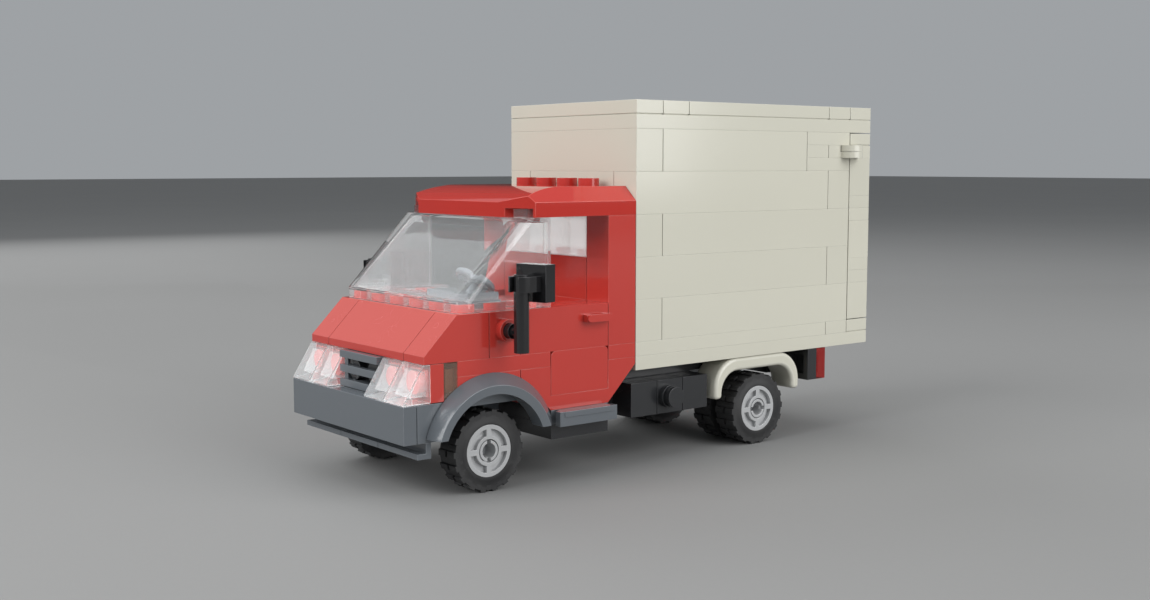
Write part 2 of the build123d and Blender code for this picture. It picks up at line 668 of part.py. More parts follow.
ROOF_CUT = 4.0        # how far each front corner of the roof is cut back
ROOF_CREST_X = 20.3   # where each side of the roof starts to slope down
roof_eave, roof_ridge = level(12), level(13)
roof_half = HALF_W * STUD - PLAY
with BuildPart() as cab_roof:
    # side profile: flat top that curves down to the front fascia
    with BuildSketch(Plane((-roof_half, 0, 0), x_dir=(0, 1, 0), z_dir=(1, 0, 0))):
        with BuildLine():
            Polyline((along(-2.5), roof_ridge), (along(0), roof_ridge), (along(0), level(11)),
                     (along(-4), level(11)), (along(-4), roof_eave))
            ThreePointArc((along(-4), roof_eave), (along(-3.3), roof_eave + 0.66 * PLATE),
                          (along(-2.5), roof_ridge))
        make_face()
    extrude(amount=2 * roof_half)
    # end profile: both sides slope down over the outer stud
    with BuildSketch(Plane((0, along(-4), 0), x_dir=(1, 0, 0), z_dir=(0, -1, 0))):
        with BuildLine():
            Polyline((-roof_half, level(11)), (-roof_half, roof_eave), (-ROOF_CREST_X, roof_ridge),
                     (ROOF_CREST_X, roof_ridge), (roof_half, roof_eave), (roof_half, level(11)), close=True)
        make_face()
    extrude(amount=-4 * STUD, mode=Mode.INTERSECT)
    # plan: front corners cut back
    with BuildSketch(Plane.XY.offset(level(11))):
        with BuildLine():
            Polyline((-roof_half, along(0)), (-roof_half, along(-4) + ROOF_CUT), (-2 * STUD, along(-4)),
                     (2 * STUD, along(-4)), (roof_half, along(-4) + ROOF_CUT), (roof_half, along(0)), close=True)
        make_face()
    extrude(amount=2 * PLATE, mode=Mode.INTERSECT)
    # hollow underside, deeper over the back rows
    with BuildSketch(Plane((0, along(-2) , level(11)))):
        Rectangle(4 * STUD - 1.0, 4 * STUD - 2 * WALL - 1.0)
    extrude(amount=1.9, mode=Mode.SUBTRACT)
    with BuildSketch(Plane((0, along(-0.5), level(11)))):
        Rectangle(6 * STUD - 2 * WALL - 2 * PLAY, STUD - 2 * WALL)
    extrude(amount=1.9, mode=Mode.SUBTRACT)
    # a notch at each front corner lets the windscreen's studs in
    with BuildSketch(Plane((0, along(-3.5), level(11)))):
        with Locations((-2.5 * STUD - 0.4, -0.4), (2.5 * STUD + 0.4, -0.4)):
            Rectangle(2 * STUD_R + 1.2, 2 * STUD_R + 1.0)
    extrude(amount=1.9, mode=Mode.SUBTRACT)
    with BuildSketch(Plane((0, along(-0.5), roof_ridge))):
        with GridLocations(STUD, STUD, 4, 1):
            Circle(STUD_R)
    extrude(amount=STUD_H)
save("cab_roof", cab_roof.part)

# ---------------------------------------------------------------- steering
STEER_X = 8.0
STEER_TILT = 35.0     # lean of the column back from upright, degrees
STEER_R = 3.9
STEER_BAR = 0.75
column_foot = (STEER_X, along(-4.3), level(6) - 0.6)
column_dir = (0, sin(radians(STEER_TILT)), cos(radians(STEER_TILT)))
COLUMN_LEN = 3.6
COLUMN_R = 1.0

with BuildPart() as steering_stand:
    add(brick(0, 2, -5, -4, 5, 6, studs=False))
    with BuildSketch(Plane(column_foot, x_dir=(1, 0, 0), z_dir=column_dir)):
        Circle(COLUMN_R)
    extrude(amount=COLUMN_LEN)
save("steering_stand", steering_stand.part)

with BuildPart() as steering_wheel:
    wheel_centre = Plane(column_foot, x_dir=(1, 0, 0), z_dir=column_dir).offset(COLUMN_LEN - 0.4)
    with BuildSketch(Plane(wheel_centre.origin, x_dir=(1, 0, 0), z_dir=wheel_centre.y_dir)):
        with Locations((STEER_R, 0)):
            Circle(STEER_BAR)
    revolve(axis=Axis(wheel_centre.origin, wheel_centre.z_dir))
    with BuildSketch(wheel_centre):
        Circle(2.0)
        Rectangle(2 * STEER_R, 1.3)
        with Locations((0, -STEER_R / 2)):
            Rectangle(1.3, STEER_R)
    extrude(amount=0.7, both=True)
    with BuildSketch(wheel_centre.offset(-0.7)):
        Circle(COLUMN_R + RUN)
    extrude(amount=1.2, mode=Mode.SUBTRACT)
save("steering_wheel", steering_wheel.part)

# ---------------------------------------------------------------- mirrors
MIRROR_BAR_X = 29.8
BAR_BELOW = 4.2       # bar below the spigot
BAR_ABOVE = 12.0      # bar above the spigot
HEAD_TURN = 15.0      # the head's outer edge lies back by this angle
HEAD_Z = 10.0         # head centre above the spigot
CLIP_R = 2.7
CLIP_REACH = 3.1      # bar centre to the head's face


def mirror_arm(sign):
    """Upright bar with a spigot that turns in the side stud's bore."""
    bore = Plane((sign * (HALF_W * STUD - SPIGOT_DEPTH), MIRROR_Y, MIRROR_Z), x_dir=(0, 1, 0), z_dir=(sign, 0, 0))
    reach = MIRROR_BAR_X - (HALF_W * STUD - SPIGOT_DEPTH)
    with BuildPart() as piece:
        with BuildSketch(Plane((sign * MIRROR_BAR_X, MIRROR_Y, MIRROR_Z - BAR_BELOW))):
            Circle(BAR_R)
        extrude(amount=BAR_BELOW + BAR_ABOVE)
        with BuildSketch(bore):
            Circle(BAR_R)
        extrude(amount=reach - 2.6)
        with BuildSketch(bore):
            Circle(BAR_R - 0.5)
        extrude(amount=reach)
    return piece.part


def mirror_head(sign):
    """Square tile with an open clip that grips the bar and swivels on it."""
    turn = radians(HEAD_TURN)
    across = (sign * cos(turn), sin(turn), 0)
    behind = (-sign * sin(turn), cos(turn), 0)
    bar = (sign * MIRROR_BAR_X, MIRROR_Y, MIRROR_Z + HEAD_Z)
    face = Plane(tuple(b + CLIP_REACH * d for b, d in zip(bar, behind)), x_dir=across, z_dir=behind)
    jaw = Plane((bar[0], bar[1], bar[2] - PLATE / 2), x_dir=across, z_dir=(0, 0, 1))
    toward_face = sign
    with BuildPart() as piece:
        with BuildSketch(face):
            Rectangle(STUD - 2 * PLAY, STUD - 2 * PLAY)
        extrude(amount=PLATE)
        with BuildSketch(face.offset(PLATE)):
            Rectangle(STUD - 2 * WALL, STUD - 2 * WALL)
        extrude(amount=-1.6, mode=Mode.SUBTRACT)
        with BuildSketch(jaw):
            Circle(CLIP_R)
            with Locations((0, toward_face * CLIP_REACH / 2)):
                Rectangle(2 * CLIP_R, CLIP_REACH)
            with Locations((0, -toward_face * CLIP_R)):
                Rectangle(2.2, 2 * CLIP_R, mode=Mode.SUBTRACT)
            Circle(BAR_R + RUN, mode=Mode.SUBTRACT)
        extrude(amount=PLATE)
    return piece.part


for side, sign in SIDES.items():
    save(f"mirror_arm_{side}", mirror_arm(sign))
    save(f"mirror_head_{side}", mirror_head(sign))

# ---------------------------------------------------------------- cargo box
save_group("cargo_floor_plates", [
    brick(-3, 3, 0, BOX_LEN, 0, 1),
    brick(-3, 3, 0, 8, 1, 2),
    brick(-3, 3, 8, 9, 1, 2),
])
save("rear_sill_tile", tile(-3, 3, 9, 10, 1, 2))

# Side walls: brick courses whose end joints alternate, like masonry.
ODD_COURSE, EVEN_COURSE = (1, 9), (0, 8, 9)


def side_courses(x0, x1):
    """All bricks of one side wall, from the floor up."""
    pieces = []
    for number, foot in enumerate((2, 5, 8, 11)):
        joints = EVEN_COURSE if number % 2 else ODD_COURSE
        for start, end in zip(joints, joints[1:]):
            pieces.append(brick(x0, x1, start, end, foot, foot + 3))
    pieces.append(brick(x0, x1, 1, 7, 14, 17))
    pieces.append(brick(x0, x1, 7, 9, 14, 15))
    pieces.append(brick(x0, x1, 7, 8, 15, 16))
    pieces.append(brick(x0, x1, 7, 9, 16, 17))
    return pieces


save_group("left_wall_bricks", side_courses(2, 3))
save_group("right_wall_bricks", side_courses(-3, -2))
save_group("front_wall_bricks", [
    brick(-3, 3, 0, 1, foot, foot + 3) if full else brick(-2, 2, 0, 1, foot, foot + 3)
    for foot, full in ((2, True), (5, False), (8, True), (11, False), (14, True))
])

save("cargo_roof_plate", brick(-3, 3, 0, BOX_LEN, BOX_TOP, BOX_TOP + 1))
save_group("cargo_roof_tiles", [
    tile(-3, 3, start, end, BOX_TOP + 1, BOX_TOP + 2) for start, end in ((0, 1), (1, 2), (2, 8), (8, 9), (9, 10))
])

# ---------------------------------------------------------------- rear doors
HINGE_X = HALF_W * STUD
HINGE_Y = along(9)
KNUCKLE_R = 3.2       # round knuckle of each hinge half
KNUCKLE_CLEAR = 0.3
HINGE_PIN_R = 1.4
HINGE_FOOT = level(15)
HALF_PLATE = PLATE / 2


def knuckle_cut(sign, z):
    """Space in a neighbour for the other half's knuckle."""
    with BuildPart() as space:
        with BuildSketch(Plane((sign * HINGE_X, HINGE_Y, z))):
            Circle(KNUCKLE_R + KNUCKLE_CLEAR)
        extrude(amount=HALF_PLATE + 0.1)
    return space.part


def hinge_half(sign, fixed):
    """Half of a swivel hinge: two-stud plate with a knuckle at its outer corner."""
    x0, x1 = sorted((sign * 1, sign * 3))
    y0 = 8 if fixed else 9
    knuckle_z = HINGE_FOOT if fixed else HINGE_FOOT + HALF_PLATE + 0.05
    other_z = HINGE_FOOT + HALF_PLATE if fixed else HINGE_FOOT - 0.1
    gap = 0.0 if fixed else DOOR_GAP - PLAY
    opening = knuckle_cut(sign, other_z)
    base = Plane((sign * 2 * STUD, along(y0 + 0.5) + gap / 2, HINGE_FOOT))
    with BuildPart() as piece:
        add(block(base, 2, 1, PLATE, play_y=PLAY + gap / 2))
        add(opening, mode=Mode.SUBTRACT)
        with BuildSketch(Plane((sign * HINGE_X, HINGE_Y, knuckle_z))):
            Circle(KNUCKLE_R)
        extrude(amount=HALF_PLATE - 0.05)
        if fixed:
            with BuildSketch(Plane((sign * HINGE_X, HINGE_Y, HINGE_FOOT))):
                Circle(HINGE_PIN_R)
            extrude(amount=PLATE)
        else:
            with BuildSketch(Plane((sign * HINGE_X, HINGE_Y, HINGE_FOOT))):
                Circle(HINGE_PIN_R + RUN)
            extrude(amount=PLATE, mode=Mode.SUBTRACT)
    return piece.part


save_group("door_hinge_bases", [hinge_half(sign, True) for sign in SIDES.values()])


def leaf_block(sign, z0, z1, width=3, outer=3, smooth=False):
    """One layer of a door leaf, a little short at the sill, the roof and the meeting edge."""
    foot = level(z0) + (DOOR_GAP if z0 == 2 else 0)
    head = level(z1) - (DOOR_GAP if z1 == BOX_TOP else 0)
    gap = DOOR_GAP - PLAY
    base = Plane((sign * STUD * (outer - width / 2), along(9.5) + gap / 2, foot))
    return block(base, width, 1, head - foot, studs=not smooth, foot=GROOVE if smooth else 0.0,
                 play_y=PLAY + gap / 2)


def door_leaf(sign):
    """Stack of bricks and plates three studs wide, with a grip near the meeting edge."""
    grip = Plane((sign * 5.0, along(BOX_LEN) - PLAY, level(8.5)), x_dir=(0, 0, 1), z_dir=REAR)
    layers = ((2, 5), (5, 6), (6, 7), (7, 10), (10, 11), (11, 12), (12, 15))
    stack = [leaf_block(sign, z0, z1) for z0, z1 in layers]
    with BuildPart() as grip_brick:
        add(stack[3])
        add(bar_handle(grip, HANDLE_LEN))
    stack[3] = grip_brick.part
    stack.append(leaf_block(sign, 15, 16, width=1, outer=1))
    stack.append(leaf_block(sign, 16, 17, smooth=True))
    return stack


for side, sign in SIDES.items():
    save_group(f"rear_door_{side}", door_leaf(sign))
    save(f"rear_door_hinge_{side}", hinge_half(sign, False))
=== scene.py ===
import json
import math
import random

import bmesh
import bpy
from mathutils import Matrix, Vector

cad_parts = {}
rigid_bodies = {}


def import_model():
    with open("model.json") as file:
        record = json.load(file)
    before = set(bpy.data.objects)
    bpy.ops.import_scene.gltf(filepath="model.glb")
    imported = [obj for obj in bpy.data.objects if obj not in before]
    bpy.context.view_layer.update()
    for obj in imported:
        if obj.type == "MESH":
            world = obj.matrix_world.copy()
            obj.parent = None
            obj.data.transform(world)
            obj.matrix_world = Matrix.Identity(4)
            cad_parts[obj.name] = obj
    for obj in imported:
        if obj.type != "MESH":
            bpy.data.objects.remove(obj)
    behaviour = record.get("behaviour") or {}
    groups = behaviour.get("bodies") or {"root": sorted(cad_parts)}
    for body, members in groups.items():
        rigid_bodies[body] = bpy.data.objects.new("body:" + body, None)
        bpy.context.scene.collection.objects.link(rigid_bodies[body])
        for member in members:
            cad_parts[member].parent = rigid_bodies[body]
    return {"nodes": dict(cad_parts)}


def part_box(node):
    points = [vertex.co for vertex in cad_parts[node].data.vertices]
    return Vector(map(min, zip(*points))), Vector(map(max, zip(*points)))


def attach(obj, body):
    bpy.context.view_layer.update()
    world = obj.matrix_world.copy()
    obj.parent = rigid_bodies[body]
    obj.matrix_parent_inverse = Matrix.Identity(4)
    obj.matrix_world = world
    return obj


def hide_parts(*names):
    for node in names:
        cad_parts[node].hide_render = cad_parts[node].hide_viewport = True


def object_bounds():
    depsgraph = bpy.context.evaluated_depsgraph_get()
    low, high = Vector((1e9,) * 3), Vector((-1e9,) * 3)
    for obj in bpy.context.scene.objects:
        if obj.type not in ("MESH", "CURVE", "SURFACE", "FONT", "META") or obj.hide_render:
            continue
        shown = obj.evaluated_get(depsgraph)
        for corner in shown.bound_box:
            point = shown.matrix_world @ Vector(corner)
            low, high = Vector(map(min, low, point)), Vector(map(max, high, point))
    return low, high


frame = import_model()
cad_low, cad_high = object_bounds()
MM = 0.001


# ------------------------------------------------------------------ camera
# The truck is seen from off its left front corner, a little below the top of its cargo box.
# The eye is measured from the front lower edge of the box, which the cab's back stands against.
VIEW_TURN = math.radians(51.72)
VIEW_TILT = math.radians(5.75)
VIEW_LENS = 42.22
EYE_LEFT = 252.44 * MM
EYE_AHEAD = 197.81 * MM
EYE_ABOVE = 46.44 * MM
cab_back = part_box("cargo_floor_plates")[0]
eye = Vector((EYE_LEFT, cab_back.y - EYE_AHEAD, cab_back.z + EYE_ABOVE))
camera = bpy.data.objects.new("camera", bpy.data.cameras.new("camera"))
camera.data.lens = VIEW_LENS
camera.data.sensor_width = 36.0
camera.data.clip_start = 5 * MM
camera.location = eye
camera.rotation_euler = (math.pi / 2 - VIEW_TILT, 0, VIEW_TURN)
bpy.context.scene.collection.objects.link(camera)
bpy.context.scene.camera = camera


# ------------------------------------------------------------------ chassis
# Black four-wide plates in three layers, with a wider plate slung under the cab.
# Every piece is injection moulded in glossy plastic, and clutched on by its studs.
EDGE_ROUND = 0.07 * MM
SHARP_TURN = math.radians(38)
SHADING_TURN = math.radians(50)
FLAT_TURN = math.radians(0.6)
SQUARE_ON = 0.95
SLOPE_AREA = 20 * MM * MM
TO_MICROMETRES = 1e6
PIECE_TONES = 9


def closed_skins(node):
    """The closed skin of each separate brick in a node, as faces of whole-micrometre corners."""
    mesh = frame["nodes"][node].data
    corners = [tuple(round(c * TO_MICROMETRES) for c in v.co) for v in mesh.vertices]
    unpaired, skin = {}, []
    for face in mesh.polygons:
        ring = [corners[i] for i in face.vertices]
        if len(set(ring)) < 3:
            continue
        skin.append(ring)
        for a, b in zip(ring, ring[1:] + ring[:1]):
            if unpaired.get((b, a)):
                unpaired[(b, a)] -= 1
                if not unpaired[(b, a)]:
                    del unpaired[(b, a)]
            else:
                unpaired[(a, b)] = unpaired.get((a, b), 0) + 1
        if not unpaired:
            yield skin
            skin = []


def softened_brick(skin, width, steps, grain_and_sheen):
    """One brick with whole flat faces and rounded outer edges."""
    bm = bmesh.new()
    edge_mark = bm.faces.layers.float.new("edge_round")
    grain_sheen_mark = bm.faces.layers.float.new("slope_grain")
    seen = {}
    for ring in skin:
        for corner in ring:
            if corner not in seen:
                seen[corner] = bm.verts.new([c / TO_MICROMETRES for c in corner])
        try:
            bm.faces.new([seen[c] for c in ring])
        except ValueError:
            pass
    bm.normal_update()
    bmesh.ops.dissolve_limit(bm, angle_limit=FLAT_TURN, verts=bm.verts, edges=bm.edges)
    # Large sloping faces are marked for their moulded grain and for a painted sheen.
    if grain_and_sheen:
        for face in bm.faces:
            slanted = max(abs(c) for c in face.normal) < SQUARE_ON
            face[grain_sheen_mark] = float(slanted and face.calc_area() > SLOPE_AREA)
    if width:
        rims = [e for e in bm.edges if e.is_manifold and e.is_convex and e.calc_face_angle(0) > SHARP_TURN]
        made = bmesh.ops.bevel(bm, geom=rims, offset=width, segments=steps, profile=0.5,
                               affect="EDGES", clamp_overlap=True)
        for face in made["faces"]:
            face[edge_mark] = 1.0
            face[grain_sheen_mark] = 0.0
    return bm


def moulded(node, material, width=EDGE_ROUND, steps=2, grain_and_sheen=False):
    """A finished moulding in place of a CAD node: same shape, soft edges, its own slight tone per brick."""
    whole = bmesh.new()
    tone_mark = whole.faces.layers.float.new("brick_tone")
    shade = random.Random(node)
    part = bpy.data.meshes.new(node + "_brick")
    for skin in closed_skins(node):
        bm = softened_brick(skin, width, steps, grain_and_sheen)
        tone_layer = bm.faces.layers.float.new("brick_tone")
        tone = shade.randrange(PIECE_TONES) / (PIECE_TONES - 1)
        for face in bm.faces:
            face[tone_layer] = tone
        bm.to_mesh(part)
        bm.free()
        whole.from_mesh(part)
    mesh = bpy.data.meshes.new(node + "_finished")
    whole.to_mesh(mesh)
    whole.free()
    bpy.data.meshes.remove(part)
    mesh.shade_smooth()
    mesh.set_sharp_from_angle(angle=SHADING_TURN)
    piece = bpy.data.objects.new(node + "_finished", mesh)
    bpy.context.scene.collection.objects.link(piece)
    flat = piece.modifiers.new("flat faces stay flat", "WEIGHTED_NORMAL")
    flat.keep_sharp = True
    mesh.materials.append(material)
    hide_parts(node)
    body = frame["nodes"][node].parent.name.split(":", 1)[1]
    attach(piece, body)
    return piece


def node_group(name, inputs, outputs):
    """An empty shader group with named sockets, and its two end nodes."""
    tree = bpy.data.node_groups.new(name, "ShaderNodeTree")
    for label, kind, value in inputs:
        socket = tree.interface.new_socket(label, in_out="INPUT", socket_type=kind)
        socket.default_value = value
    for label, kind in outputs:
        tree.interface.new_socket(label, in_out="OUTPUT", socket_type=kind)
    return tree, tree.nodes.new("NodeGroupInput"), tree.nodes.new("NodeGroupOutput")


def math_node(tree, operation, a, b=None, clamp=False):
    """One Math node; a and b are sockets or plain numbers."""
    node = tree.nodes.new("ShaderNodeMath")
    node.operation = operation
    node.use_clamp = clamp
    for socket, value in zip(node.inputs, (a, b)):
        if isinstance(value, bpy.types.NodeSocket):
            tree.links.new(value, socket)
        elif value is not None:
            socket.default_value = value
    return node.outputs[0]


def noise(tree, place, per_metre, detail, rough=0.5):
    """Noise over the piece's own coordinates, with so many cells to the metre."""
    node = tree.nodes.new("ShaderNodeTexNoise")
    node.inputs["Scale"].default_value = per_metre
    node.inputs["Detail"].default_value = detail
    node.inputs["Roughness"].default_value = rough
    tree.links.new(place, node.inputs["Vector"])
    return node.outputs["Fac"]


def attribute(tree, name):
    """A value stored on the faces when the brick was finished."""
    node = tree.nodes.new("ShaderNodeAttribute")
    node.attribute_name = name
    return node.outputs["Fac"]


def mix_colour(tree, amount, a, b):
    """Blend of two colours by a mask."""
    node = tree.nodes.new("ShaderNodeMix")
    node.data_type = "RGBA"
    for socket, value in ((node.inputs["Factor"], amount), (node.inputs["A"], a), (node.inputs["B"], b)):
        if isinstance(value, bpy.types.NodeSocket):
            tree.links.new(value, socket)
        else:
            socket.default_value = value
    return node.outputs["Result"]


# Hairline scuffs: thin curved lines where the brick has rubbed against others in the box.
# A line runs where the noise crosses its middle value, and shows only in patches.
scuffs, scuffs_in, scuffs_out = node_group(
    "box_scuffs", [("Lines Per Metre", "NodeSocketFloat", 260.0)], [("Scuff", "NodeSocketFloat")])
place = scuffs.nodes.new("ShaderNodeTexCoord").outputs["Object"]
lines = scuffs.nodes.new("ShaderNodeTexNoise")
lines.inputs["Detail"].default_value = 0.0
lines.inputs["Distortion"].default_value = 1.2
scuffs.links.new(place, lines.inputs["Vector"])
scuffs.links.new(scuffs_in.outputs["Lines Per Metre"], lines.inputs["Scale"])
off_line = math_node(scuffs, "ABSOLUTE", math_node(scuffs, "SUBTRACT", lines.outputs["Fac"], 0.5))
on_line = math_node(scuffs, "SUBTRACT", 1.0, math_node(scuffs, "MULTIPLY", off_line, 220.0, clamp=True))
over_threshold = math_node(scuffs, "SUBTRACT", noise(scuffs, place, 90.0, 2.0), 0.52)
patches = math_node(scuffs, "MULTIPLY", over_threshold, 6.0, clamp=True)
scuffs.links.new(math_node(scuffs, "MULTIPLY", on_line, patches), scuffs_out.inputs["Scuff"])

# Moulded skin: flow tone, a tone per brick, edges painted lighter (painted highlight, with patches of wear),
# orange peel, grain and a paler painted sheen on the sloping faces.
MIDDLE_TONE = 0.75
SLOPE_PAINTED_SHEEN = 0.42
SCUFF_ROUGHNESS = 0.22
SLOPE_ROUGHNESS = 0.16
SMOOTHEST = 0.04
PEEL_DEPTH = 0.25
SCUFF_DEPTH = 0.10
skin, skin_in, skin_out = node_group(
    "moulded_skin",
    [("Colour", "NodeSocketColor", (0.8, 0.8, 0.8, 1)),
     ("Edge Colour", "NodeSocketColor", (0.9, 0.9, 0.9, 1)),
     ("Gloss", "NodeSocketFloat", 0.15),
     ("Tone Spread", "NodeSocketFloat", 0.08),
     ("Peel Per Metre", "NodeSocketFloat", 700.0)],
    [("Colour", "NodeSocketColor"), ("Roughness", "NodeSocketFloat"), ("Height", "NodeSocketFloat")])
place = skin.nodes.new("ShaderNodeTexCoord").outputs["Object"]
flow = noise(skin, place, 55.0, 3.0)
cloud = noise(skin, place, 9.0, 1.0)
own_tone = math_node(skin, "ADD", attribute(skin, "brick_tone"), cloud)
tone = math_node(skin, "MULTIPLY", math_node(skin, "ADD", flow, own_tone), 0.5)
off_tone = math_node(skin, "SUBTRACT", tone, MIDDLE_TONE)
gain = math_node(skin, "ADD", 1.0, math_node(skin, "MULTIPLY", off_tone, skin_in.outputs["Tone Spread"]))
toned = skin.nodes.new("ShaderNodeVectorMath")
toned.operation = "SCALE"
skin.links.new(skin_in.outputs["Colour"], toned.inputs[0])
skin.links.new(gain, toned.inputs["Scale"])
# The rounded edges are painted lighter: a painted highlight along every edge, with patches of wear over it.
edge = attribute(skin, "edge_round")
wear = math_node(skin, "MULTIPLY", noise(skin, place, 240.0, 2.0), 0.6)
edge_highlight_and_wear = math_node(skin, "MULTIPLY", edge, math_node(skin, "ADD", 0.25, wear))
# Large sloping faces are painted paler as well: a painted sheen over their moulded grain.
grain_sheen_mask = attribute(skin, "slope_grain")
pale = math_node(skin, "MAXIMUM", edge_highlight_and_wear, math_node(skin, "MULTIPLY", grain_sheen_mask, SLOPE_PAINTED_SHEEN))
final = mix_colour(skin, pale, toned.outputs[0], skin_in.outputs["Edge Colour"])
skin.links.new(final, skin_out.inputs["Colour"])
scuff = skin.nodes.new("ShaderNodeGroup")
scuff.node_tree = scuffs
grain = noise(skin, place, 2600.0, 2.0)
fine = math_node(skin, "MULTIPLY", math_node(skin, "SUBTRACT", noise(skin, place, 420.0, 4.0), 0.5), 0.06)
gloss = math_node(skin, "ADD", skin_in.outputs["Gloss"], fine)
gloss = math_node(skin, "ADD", gloss, math_node(skin, "MULTIPLY", scuff.outputs[0], SCUFF_ROUGHNESS))
gloss = math_node(skin, "ADD", gloss, math_node(skin, "MULTIPLY", grain_sheen_mask, SLOPE_ROUGHNESS))
skin.links.new(math_node(skin, "MAXIMUM", gloss, SMOOTHEST), skin_out.inputs["Roughness"])
peel = skin.nodes.new("ShaderNodeTexNoise")
peel.inputs["Detail"].default_value = 1.0
skin.links.new(place, peel.inputs["Vector"])
skin.links.new(skin_in.outputs["Peel Per Metre"], peel.inputs["Scale"])
height = math_node(skin, "MULTIPLY", peel.outputs["Fac"], PEEL_DEPTH)
height = math_node(skin, "SUBTRACT", height, math_node(skin, "MULTIPLY", scuff.outputs[0], SCUFF_DEPTH))
height = math_node(skin, "ADD", height, math_node(skin, "MULTIPLY", grain, grain_sheen_mask))
skin.links.new(height, skin_out.inputs["Height"])


def plastic(name, colour, sheen_and_wear_colour, gloss=0.14, tone_spread=0.07, bump=0.02):
    """Opaque glossy brick plastic in one colour, painted lighter on its edges and sloping faces as painted
    highlight and sheen, with patches of wear on the edges.
    """
    material = bpy.data.materials.new(name)
    material.use_nodes = True
    tree = material.node_tree
    shader = tree.nodes["Principled BSDF"]
    group = tree.nodes.new("ShaderNodeGroup")
    group.node_tree = skin
    group.inputs["Colour"].default_value = (*colour, 1)
    group.inputs["Edge Colour"].default_value = (*sheen_and_wear_colour, 1)
    group.inputs["Gloss"].default_value = gloss
    group.inputs["Tone Spread"].default_value = tone_spread
    relief = tree.nodes.new("ShaderNodeBump")
    relief.inputs["Strength"].default_value = 0.5
    relief.inputs["Distance"].default_value = bump * MM
    tree.links.new(group.outputs["Height"], relief.inputs["Height"])
    tree.links.new(group.outputs["Colour"], shader.inputs["Base Color"])
    tree.links.new(group.outputs["Roughness"], shader.inputs["Roughness"])
    tree.links.new(relief.outputs["Normal"], shader.inputs["Normal"])
    shader.inputs["IOR"].default_value = 1.53
    material.diffuse_color = (*colour, 1)
    return material


black = plastic("black_brick_plastic", (0.022, 0.023, 0.025), (0.06, 0.06, 0.065), gloss=0.2)
for node in ("chassis_plates", "underbody_plate"):
    moulded(node, black)

# ------------------------------------------------------------------ axles
# Light grey plates whose round pins carry the wheels; a pair in front, a shorter pair behind.
# The pins are moulded in one with the plate and spring into the wheel's hub.
light_grey = plastic("stone_grey_plastic", (0.36, 0.37, 0.38), (0.55, 0.56, 0.57))
moulded("axle_plates", light_grey, width=0.08 * MM)

# ------------------------------------------------------------------ rims
# Satin grey rims with a slotted ring round the hub, open at the back.
# Moulded in one piece; the tyre is stretched over their two flanges.
rim_grey = plastic("rim_grey_plastic", (0.42, 0.425, 0.43), (0.62, 0.62, 0.62), gloss=0.24)
PLACES = ("front", "rear_outer", "rear_inner")
SIDES = ("left", "right")
for place_name in PLACES:
    for side in SIDES:
        moulded(f"{place_name}_rim_{side}", rim_grey, width=0.07 * MM)

# ------------------------------------------------------------------ tyres
# Soft black rubber; raised pairs of square tread blocks alternate with lower full-width bars.
# Each tyre is one moulding with a low bead that sits between the rim's flanges.
BLOCKS_ROUND = 18
BLOCK_HEIGHT = 1.1 * MM
BLOCK_LONG = 0.92
BLOCK_TAPER_ROUND = 0.97
BLOCK_TAPER_ACROSS = 0.99
BLOCK_ROUNDING = 0.04
SLOT_WIDE = 0.7 * MM
BAR_DROP = 0.38 * MM
TREAD_INSET = 0.1 * MM
GROOVE_DROP = 1.0 * MM
SIDE_DROP = 0.42 * MM
SIDE_THICK = 0.22 * MM
SIDE_ROUND = 0.12 * MM
SIDE_DISH = 0.07 * MM
CROWN_ROUND = 0.05 * MM
BEAD_PLAY = 0.03 * MM
BEAD_ROUND = 0.14 * MM
BEAD_BAND = 0.9 * MM
BEAD_STEP = 0.1 * MM
SEAT_DEPTH = 0.5 * MM
LIP_INSET = 0.7 * MM
CARCASS_STEPS = 132
RUBBER_SHADING_TURN = math.radians(35)


def rubber():
    """Matt tyre rubber: dark, with fine speckle and dusty blocks."""
    material = bpy.data.materials.new("tyre_rubber")
    material.use_nodes = True
    tree = material.node_tree
    shader = tree.nodes["Principled BSDF"]
    place = tree.nodes.new("ShaderNodeTexCoord").outputs["Object"]
    speckle = noise(tree, place, 1500.0, 3.0, 0.7)
    cloud = noise(tree, place, 160.0, 3.0)
    dust = math_node(tree, "MULTIPLY", math_node(tree, "SUBTRACT", cloud, 0.42), 2.2, clamp=True)
    base = mix_colour(tree, speckle, (0.009, 0.009, 0.010, 1), (0.026, 0.026, 0.027, 1))
    dusty = mix_colour(tree, math_node(tree, "MULTIPLY", dust, 0.35), base, (0.075, 0.073, 0.07, 1))
    tree.links.new(dusty, shader.inputs["Base Color"])
    rough = math_node(tree, "ADD", 0.5, math_node(tree, "MULTIPLY", speckle, 0.22))
    tree.links.new(rough, shader.inputs["Roughness"])
    relief = tree.nodes.new("ShaderNodeBump")
    relief.inputs["Strength"].default_value = 0.5
    relief.inputs["Distance"].default_value = 0.03 * MM
    tree.links.new(speckle, relief.inputs["Height"])
    tree.links.new(relief.outputs["Normal"], shader.inputs["Normal"])
    material.diffuse_color = (0.02, 0.02, 0.02, 1)
    return material


def turned(profile, steps):
    """Closed ring turned about X from a loop of (x, radius) points."""
    bm = bmesh.new()
    rows = []
    for n in range(steps):
        angle = 2 * math.pi * n / steps
        rows.append([bm.verts.new((x, r * math.cos(angle), r * math.sin(angle))) for x, r in profile])
    for a, b in zip(rows, rows[1:] + rows[:1]):
        for i in range(len(profile)):
            j = (i + 1) % len(profile)
            bm.faces.new((a[i], a[j], b[j], b[i]))
    bmesh.ops.recalc_face_normals(bm, faces=bm.faces)
    return bm


